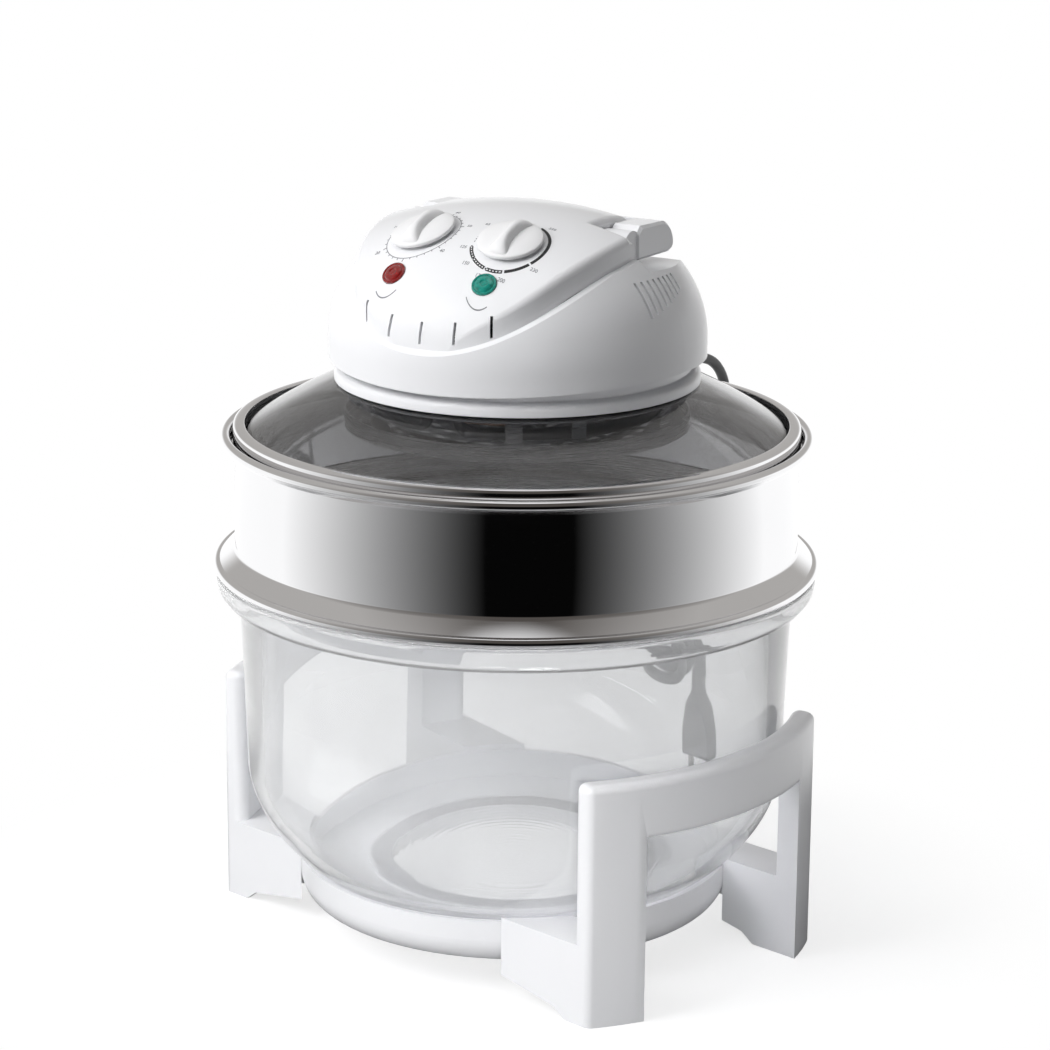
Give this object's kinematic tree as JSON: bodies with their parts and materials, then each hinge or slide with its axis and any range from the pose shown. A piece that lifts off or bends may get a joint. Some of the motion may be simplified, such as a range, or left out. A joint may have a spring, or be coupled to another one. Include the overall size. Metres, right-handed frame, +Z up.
{
  "type": "air fryer oven",
  "caption": "Bowl-type air fryer oven: glass bowl on a stand with two handles, steel extender ring, domed glass lid with a heater head, two dials and a folding handle",
  "frame": {"origin": "centre of the footprint of the oven without its cord, on the floor", "axes": "+Z up along the bowl's axis; -Y is the front, which the control panel faces; +X is to the right seen from the front"},
  "size_m": [0.3364, 0.3701, 0.4126],
  "materials": {
    "white_plastic": "glossy moulded plastic, soft sheen",
    "knob_plastic": "glossy moulded plastic",
    "clear_glass": "clear polished glass",
    "lid_glass": "clear polished glass, lightly smoked",
    "mirror_steel": "mirror polished stainless steel",
    "satin_steel": "brushed stainless steel",
    "zinc_steel": "zinc plated, satin",
    "plate_aluminium": "bright rolled sheet",
    "shaft_steel": "ground steel",
    "laminated_steel": "stacked laminations, dull",
    "coil_tape": "taped winding",
    "heater_sheath": "dark oxidised tube",
    "ceramic": "white ceramic, satin",
    "copper": "dull copper",
    "silicone": "matte silicone",
    "mineral_wool": "pressed fibre mat",
    "red_lens": "transparent moulded lens",
    "green_lens": "transparent moulded lens",
    "inner_plastic": "natural nylon",
    "switch_plastic": "black thermoplastic",
    "wire_sleeve": "glass fibre sleeve",
    "cord_grey": "smooth cable sheath",
    "tie_plastic": "soft strap",
    "pin_brass": "nickelled brass"
  },
  "bodies": {
    "stand": {"stand_ring": "white_plastic", "stand_handle_right": "white_plastic", "stand_handle_left": "white_plastic", "stand_screws": "zinc_steel"},
    "bowl": {"glass_bowl": "clear_glass"},
    "extender": {"extender_ring": "mirror_steel", "locating_skirt": "satin_steel"},
    "head": {"lid_rim": "mirror_steel", "glass_lid": "lid_glass", "rim_gasket": "silicone", "collar_gasket": "silicone", "head_collar": "white_plastic", "head_housing": "white_plastic", "panel_fascia": "white_plastic", "timer_unit": "inner_plastic", "thermostat_unit": "inner_plastic", "power_lamp_lens": "red_lens", "heat_lamp_lens": "green_lens", "lamp_holders": "inner_plastic", "handle_pins": "zinc_steel", "safety_switch": "switch_plastic", "motor_bracket": "zinc_steel", "motor_stack": "laminated_steel", "motor_coil": "coil_tape", "top_bearing": "zinc_steel", "motor_screws": "zinc_steel", "reflector_plate": "plate_aluminium", "insulation_mat": "mineral_wool", "heat_shield": "plate_aluminium", "plate_standoffs": "zinc_steel", "heating_element": "heater_sheath", "element_insulators": "ceramic", "element_clips": "zinc_steel", "thermostat_bulb": "copper", "capillary_tube": "copper", "guard_plate": "satin_steel", "guard_band": "satin_steel", "guard_straps": "satin_steel", "guard_screws": "zinc_steel", "housing_spacers": "zinc_steel", "housing_screws": "zinc_steel", "terminal_block": "inner_plastic", "wiring": "wire_sleeve", "strain_relief": "cord_grey", "power_cord": "cord_grey", "cord_hank": "cord_grey", "cord_tie": "tie_plastic", "plug_body": "cord_grey", "plug_pins": "pin_brass"},
    "handle": {"carry_handle": "white_plastic"},
    "timer_dial": {"timer_knob": "knob_plastic", "timer_shaft": "shaft_steel"},
    "temperature_dial": {"temperature_knob": "knob_plastic", "thermostat_shaft": "shaft_steel"},
    "rotor": {"motor_rotor": "plate_aluminium", "motor_shaft": "shaft_steel", "cooling_fan": "plate_aluminium", "circulation_fan": "plate_aluminium", "fan_nut": "zinc_steel"},
    "plunger": {"switch_plunger": "switch_plastic"}
  },
  "joints": [
    {"name": "bowl_lift", "type": "slide", "parent": "stand", "child": "bowl", "axis": [0, 0, 1], "range_m": [0, 0.12]},
    {"name": "extender_lift", "type": "slide", "parent": "bowl", "child": "extender", "axis": [0, 0, 1], "range_m": [0, 0.05]},
    {"name": "head_lift", "type": "slide", "parent": "extender", "child": "head", "axis": [0, 0, 1], "range_m": [0, 0.06]},
    {"name": "handle_fold", "type": "hinge", "parent": "head", "child": "handle", "pos_m": [0, 0.004, 0.393], "axis": [1, 0, 0], "range_deg": [0, 90]},
    {"name": "timer_turn", "type": "hinge", "parent": "head", "child": "timer_dial", "pos_m": [-0.027, -0.053, 0.39974], "axis": [-0.1058, -0.3785, 0.9195], "range_deg": [-300, 0]},
    {"name": "temperature_turn", "type": "hinge", "parent": "head", "child": "temperature_dial", "pos_m": [0.027, -0.053, 0.39974], "axis": [0.1058, -0.3785, 0.9195], "range_deg": [-270, 0]},
    {"name": "fan_spin", "type": "hinge", "parent": "head", "child": "rotor", "pos_m": [0, 0, 0.36], "axis": [0, 0, 1], "continuous": true},
    {"name": "switch_press", "type": "slide", "parent": "head", "child": "plunger", "axis": [0, 0, 1], "range_m": [0, 0.002]}
  ],
  "couplings": [
    {"joint": "switch_press", "follows": "handle_fold", "m_per_rad": 0.0012732}
  ]
}
